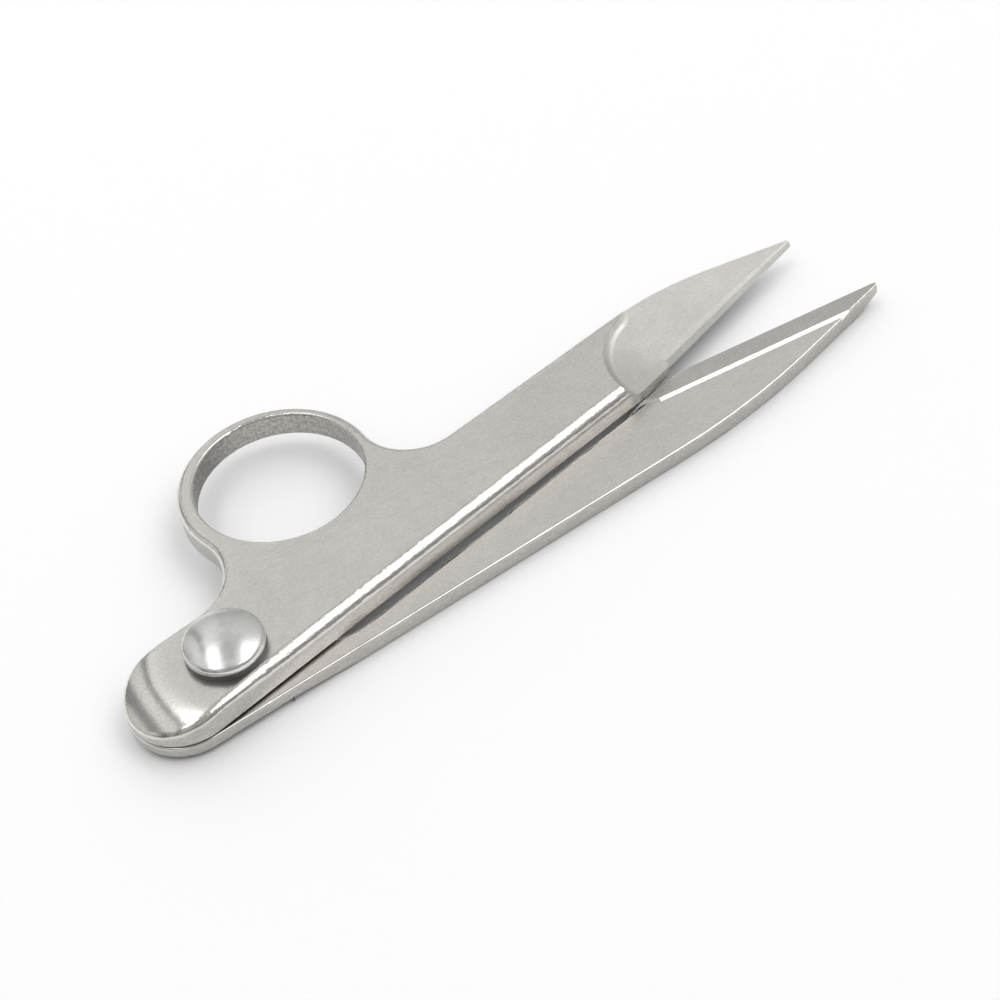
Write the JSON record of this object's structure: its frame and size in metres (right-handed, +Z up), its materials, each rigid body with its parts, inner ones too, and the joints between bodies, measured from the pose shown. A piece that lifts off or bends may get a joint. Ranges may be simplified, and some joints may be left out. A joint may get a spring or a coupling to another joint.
{
  "type": "thread snips",
  "caption": "Forged steel thread snips: two riveted arms with short pointed blades, a finger ring on the upper arm and a hidden opening spring.",
  "frame": {"origin": "centre of the rivet's tail on the underside, on the pivot axis", "axes": "+X towards the blade tips, +Y towards the finger ring, +Z up through the rivet's domed head"},
  "size_m": [0.1292, 0.0482, 0.0107],
  "materials": {
    "polished_steel": "polished",
    "mirror_steel": "mirror",
    "plain_steel": "satin",
    "spring_steel": "satin"
  },
  "bodies": {
    "thumb_body": {"thumb_arm": "polished_steel", "pivot_rivet": "mirror_steel", "rivet_washer": "plain_steel", "pivot_sleeve": "plain_steel", "stop_pin": "plain_steel", "torsion_spring": "spring_steel"},
    "ring_body": {"ring_arm": "polished_steel"}
  },
  "joints": [
    {"name": "arm_pivot", "type": "hinge", "parent": "thumb_body", "child": "ring_body", "pos_m": [0, 0, 0], "axis": [0, 0, 1], "range_deg": [-9.5, 0], "stiffness_Nm_per_rad": 0.4, "springref_deg": 14.32, "deforming": ["torsion_spring"]}
  ]
}
